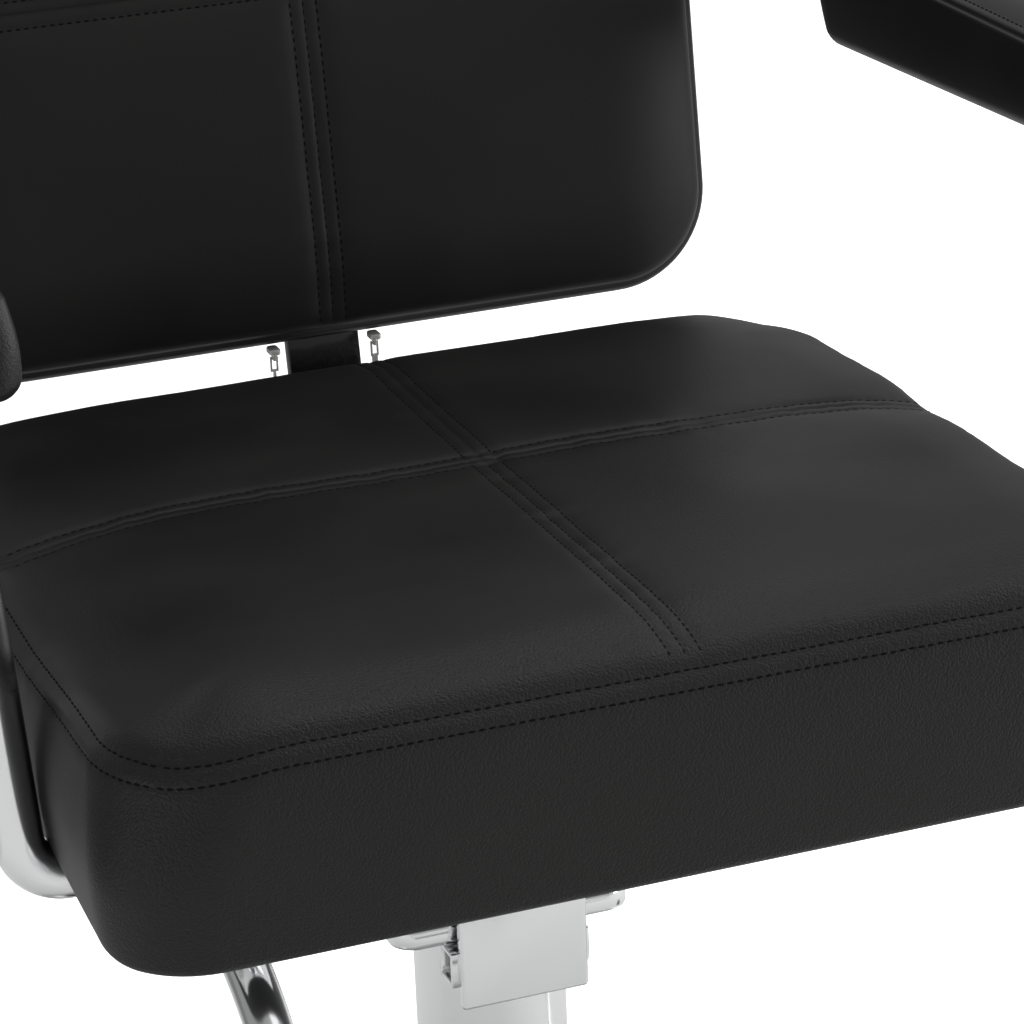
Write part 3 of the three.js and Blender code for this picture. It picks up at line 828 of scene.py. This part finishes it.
padShape = {
    "low": (285, -265, 661), "high": (347, 170, 720), "corner": 13, "topRoll": 5, "lowRoll": 9,
    "noseLevel": 668, "noseSlope": 34, "rearLow": 176, "rearHigh": 200, "crown": 6.5,
    "noseTop": 727, "noseTuck": 6, "sideBulge": 2.0, "rowGap": 7.0, "rowDip": 0.4, "rimDip": 1.3,
    "underRise": 17, "rowSpan": (-222, 188), "castLevel": 740, "fine": 5,
    "pitch": 6,
}


def padSurface(co):
    shape = padShape
    low, high = shape["low"], shape["high"]
    flat, out, inset = rollBox(co, low, high, shape["corner"], shape["topRoll"], shape["lowRoll"])
    cx = (low[0] + high[0]) / 2
    u = (co.x - cx) / (high[0] - cx)
    if co.z > high[2] - 0.01:
        flat.z += shape["crown"] * smoothStep(inset / 20) * (1 - 0.25 * u * u)
        fromRow = high[0] - cx - abs(co.x - cx) - shape["rowGap"]
        flat.z -= shape["rowDip"] * ditch(fromRow, 1.6)
    elif inset < 0.01:
        share = (high[2] - co.z) / (high[2] - low[2])
        flat += out * shape["sideBulge"] * math.sin(math.pi * share)
    if inset < 5 and high[2] - co.z < 5:
        away = abs(inset) + abs(high[2] - co.z)
        flat -= (out + Vector((0, 0, 1))).normalized() * ditch(away, 1.2) * shape["rimDip"]
    share = (co.y - low[1]) / (high[1] - low[1])
    under = (high[2] - co.z) / (high[2] - low[2])
    flat.z += shape["underRise"] * (1 - share) * smoothStep(under)
    rise = (flat.z - shape["noseLevel"]) / (shape["noseTop"] - shape["noseLevel"])
    nose = (shape["noseSlope"] if rise > 0 else shape["noseTuck"]) * rise * rise
    lean = (flat.z - low[2]) / (shape["noseTop"] - low[2])
    rear = shape["rearLow"] + (shape["rearHigh"] - shape["rearLow"]) * lean
    flat.y += nose * (1 - share) ** 3 + (rear - high[1]) * share ** 3
    return flat


def makePad(side, tag):
    shape = padShape
    low, high, pitch = shape["low"], shape["high"], shape["pitch"]
    gap, roll, fine = shape["rowGap"], shape["topRoll"], shape["fine"]
    xLines = spacedLines(low[0], high[0], fine, rows=(low[0] + gap, high[0] - gap),
                         edges=((low[0], roll), (high[0], roll)))
    yLines = spacedLines(low[1], high[1], pitch, edges=((low[1], roll), (high[1], roll)))
    zLines = spacedLines(low[2], high[2], fine,
                         edges=((low[2], shape["lowRoll"]), (high[2], roll)))
    bm = gridBox(low, high, (xLines, yLines, zLines))
    for vert in bm.verts:
        vert.co = padSurface(vert.co)
    tree = BVHTree.FromBMesh(bm)
    stitches = ([], [])
    level, (start, end) = shape["castLevel"], shape["rowSpan"]
    for x in (low[0] + gap, high[0] - gap):
        stitchAlong(stitches, dropOnto(tree, stepped((x, start, level), (x, end, level))))
    place = Matrix.Diagonal((mm * side, mm, mm, 1))
    bmesh.ops.transform(bm, matrix=place, verts=bm.verts[:])
    cover = finishPiece("arm_pad_cover_" + tag, meshFrom(bm, "armPadCover"), vinyl, "seat",
                        ["arm_pad_" + tag])
    finishPiece("arm_stitching_" + tag, stitchMesh(stitches, place, "armStitching"), thread,
                "seat")


for side, tag in ((-1, "l"), (1, "r")):
    makePad(side, tag)
print("arm pads made")


# Chrome tubes.

armTube = {
    "radius": 12.5, "bends": [24, 60, 62],
    "corners": [(142, -150, 401.7), (282, -150, 401.7), (303, -150, 691),
                (303, 334.5, 691), (92, 334.5, 691)],
}
footTube = {
    "radius": 11, "bends": [128, 48, 48, 128],
    "corners": [(207, -176, 399.4), (207, -293, 399.4), (207, -436, 152),
                (-207, -436, 152), (-207, -293, 399.4), (-207, -176, 399.4)],
}


def makeTubes():
    for side, tag in ((-1, "l"), (1, "r")):
        corners = [(x * side, y, z) for x, y, z in armTube["corners"]]
        bm = roundTube(bentPath(corners, armTube["bends"]), armTube["radius"])
        finishPiece("arm_tube_bent_" + tag, meshFrom(bm, "armTube"), chrome, "seat",
                    ["arm_tube_" + tag])
    bm = roundTube(bentPath(footTube["corners"], footTube["bends"]), footTube["radius"])
    finishPiece("foot_tube_bent", meshFrom(bm, "footTube"), chrome, "seat",
                ["foot_tube"])


makeTubes()
print("tubes made")


# Turned parts.

turnedShape = {   # (radius, height) pairs in millimetres
    "base_cover": [
        (302, 13.3), (302, 16.5), (297, 19), (270, 24), (200, 32.5), (130, 39.5), (84, 44.5),
        (68, 48.5), (50, 51.5), (43, 52), (43, 50.2), (49.5, 49.8), (67, 46.8), (83, 42.8),
        (130, 37.7), (200, 30.7), (270, 22.2), (296, 17.2), (300, 15.8), (300, 13.3)],
    "base_ring": [(286.3, 0), (299, 0), (301, 2), (301, 11), (299, 13), (286.3, 13)],
    "pump_cover": [
        (39.6, 52.3), (41, 52.3), (41, 256), (40, 257), (33, 257), (33, 254.5), (39.6, 254.5)],
    "pump_collar": [(41.3, 52.4), (54, 52.4), (54, 54), (46, 59), (41.3, 60)],
    "piston": [(0, 100), (27, 100), (28, 102), (28, 262), (15, 262), (15, 284), (0, 284)],
}
turnedSteps = {"wide": 160, "slim": 96}   # faces around


def makeTurned():
    jobs = (("base_cover", "wide", chrome, "base", "chrome"),
            ("base_ring", "wide", rubber, "base", "base_rubber"),
            ("pump_cover", "slim", chrome, "base", "chrome"),
            ("pump_collar", "slim", chrome, "base", "chrome"),
            ("piston", "slim", chrome, "lift", "chrome"))
    for node, girth, material, body, slotName in jobs:
        bm = spinProfile(turnedShape[node], turnedSteps[girth])
        mesh = meshFrom(bm, node + "Turned")
        mesh.set_sharp_from_angle(angle=math.radians(40))
        finishPiece(node + "_turned", mesh, material, body, [node])


makeTurned()
print("turned parts made")


# Ribbed rubber tread on the footrest.

tread = {
    "half": 122, "bore": 11.3, "groove": 14.4, "rib": 15.4,   # half length, then radii
    "pitch": 7, "grooveHalf": 0.7, "mouthHalf": 1.5, "endRoll": 1, "steps": 40,
    "place": (0, -436, 152),
}


def makeTread():
    half, groove, rib, end = (tread[k] for k in ("half", "groove", "rib", "endRoll"))
    inner, outer = tread["grooveHalf"], tread["mouthHalf"]
    outline = [(tread["bore"], -half), (groove, -half), (rib, end - half)]
    at = tread["pitch"] - half
    while at < half - tread["pitch"]:
        outline += [(rib, at - outer), (groove, at - inner), (groove, at + inner),
                    (rib, at + outer)]
        at += tread["pitch"]
    outline += [(rib, half - end), (groove, half), (tread["bore"], half)]
    bm = spinProfile(outline, tread["steps"])
    along = Matrix.Rotation(math.pi / 2, 4, "Y")
    place = Matrix.Translation(Vector(tread["place"]) * mm) @ along
    bmesh.ops.transform(bm, matrix=place, verts=bm.verts[:])
    mesh = meshFrom(bm, "footTread")
    mesh.set_sharp_from_angle(angle=math.radians(60))
    finishPiece("foot_sleeve_ribbed", mesh, rubber, "seat", ["foot_sleeve"])


makeTread()
print("tread made")


# Pressed, folded and cast metal, fasteners.

def makeHardware():
    for node in ("head_plate", "front_plate", "cross_tube", "foot_bracket_l", "foot_bracket_r"):
        softenedCopy(node, chrome, "seat", 0.6)
    for node in ("riser_box", "seat_plate", "back_bar"):
        softenedCopy(node, blackPaint, "seat", 0.8)
    softenedCopy("pedal_housing", chrome, "base", 1.0)
    softenedCopy("pedal_pin", zinc, "base", 0.4)
    softenedCopy("pedal_lever", chrome, "pedal", 0.8)
    softenedCopy("pedal_pad", rubber, "pedal", 0.8)
    softenedCopy("thrust_washer", zinc, "lift", 0.2)
    for tag, body in (("l", "left"), ("r", "right")):
        # The zip parts take the nickel with its painted reflection of the backdrop.
        softenedCopy("zip_slider_" + tag, nickelPaintedSheen, "slider_" + body, 0.2)
        softenedCopy("zip_tab_" + tag, nickelPaintedSheen, "tab_" + body, 0.12)
    for node in cad:
        if "_bolt_" in node:
            softenedCopy(node, zinc, "seat", 0.5)


# Finishes for the parts that are shown as designed: the boards and the castings.
def paintKept():
    kept = {"cast_iron": castIron, "plywood": plywood, "zinc": zinc, "chrome": chrome,
            "black_paint": blackPaint, "base_rubber": rubber, "vinyl": vinyl}
    slots = {row["node"]: row["material_slot"] for row in frame["record"]["subparts"]}
    for node, piece in cad.items():
        piece.data.materials.clear()
        piece.data.materials.append(kept.get(slots[node], rubber))


makeHardware()
paintKept()
print("hardware made")


# Studio.

def makeStudio():
    world = bpy.data.worlds.new("studioWorld")
    world.use_nodes = True
    sky = world.node_tree.nodes["Background"]
    sky.inputs["Color"].default_value = (1, 1, 1, 1)
    way = addNode(world.node_tree, "ShaderNodeTexCoord").outputs["Generated"]
    side = addNode(world.node_tree, "ShaderNodeSeparateXYZ", {"Vector": way}).outputs["X"]
    glow = spanRamp(world.node_tree, side, studio["leftLight"], studio["rightLight"], -1.0, 1.0)
    world.node_tree.links.new(glow, sky.inputs["Strength"])
    scene.world = world
    bm = bmesh.new()
    bmesh.ops.create_grid(bm, x_segments=1, y_segments=1, size=studio["floorHalf"])
    floor = bpy.data.objects.new("studioFloor", bpy.data.meshes.new("studioFloor"))
    bm.to_mesh(floor.data)
    bm.free()
    floor.location.z = -studio["floorDrop"]
    material, tree, body, place = newMaterial("floorWithPaintedShade", {"Roughness": 0.8})
    across = addNode(tree, "ShaderNodeSeparateXYZ", {"Vector": place}).outputs
    # Painted shade: the floor darkens towards the left rear, seen only in reflections and bounce
    # light.
    side = addNode(tree, "ShaderNodeMath", {0: across["X"], 1: across["Y"]},
                   operation="SUBTRACT").outputs[0]
    share = spanRamp(tree, side, 0, 1, studio["paleFrom"], studio["paleTo"])
    tone = colourRamp(tree, share, [(0.0, studio["floorPaintedShade"]), (1.0, studio["floorPale"])])
    tree.links.new(tone, body.inputs["Base Color"])
    body.inputs["Emission Color"].default_value = (1, 1, 1, 1)
    seen = addNode(tree, "ShaderNodeLightPath").outputs["Is Camera Ray"]
    tree.links.new(spanRamp(tree, seen, studio["floorCast"], studio["floorSeen"]),
                   body.inputs["Emission Strength"])
    floor.data.materials.append(material)
    scene.collection.objects.link(floor)
    for name, (place, target, size, power) in studio["panels"].items():
        addLight(name, place, target, size, power)


makeStudio()
print("studio made")
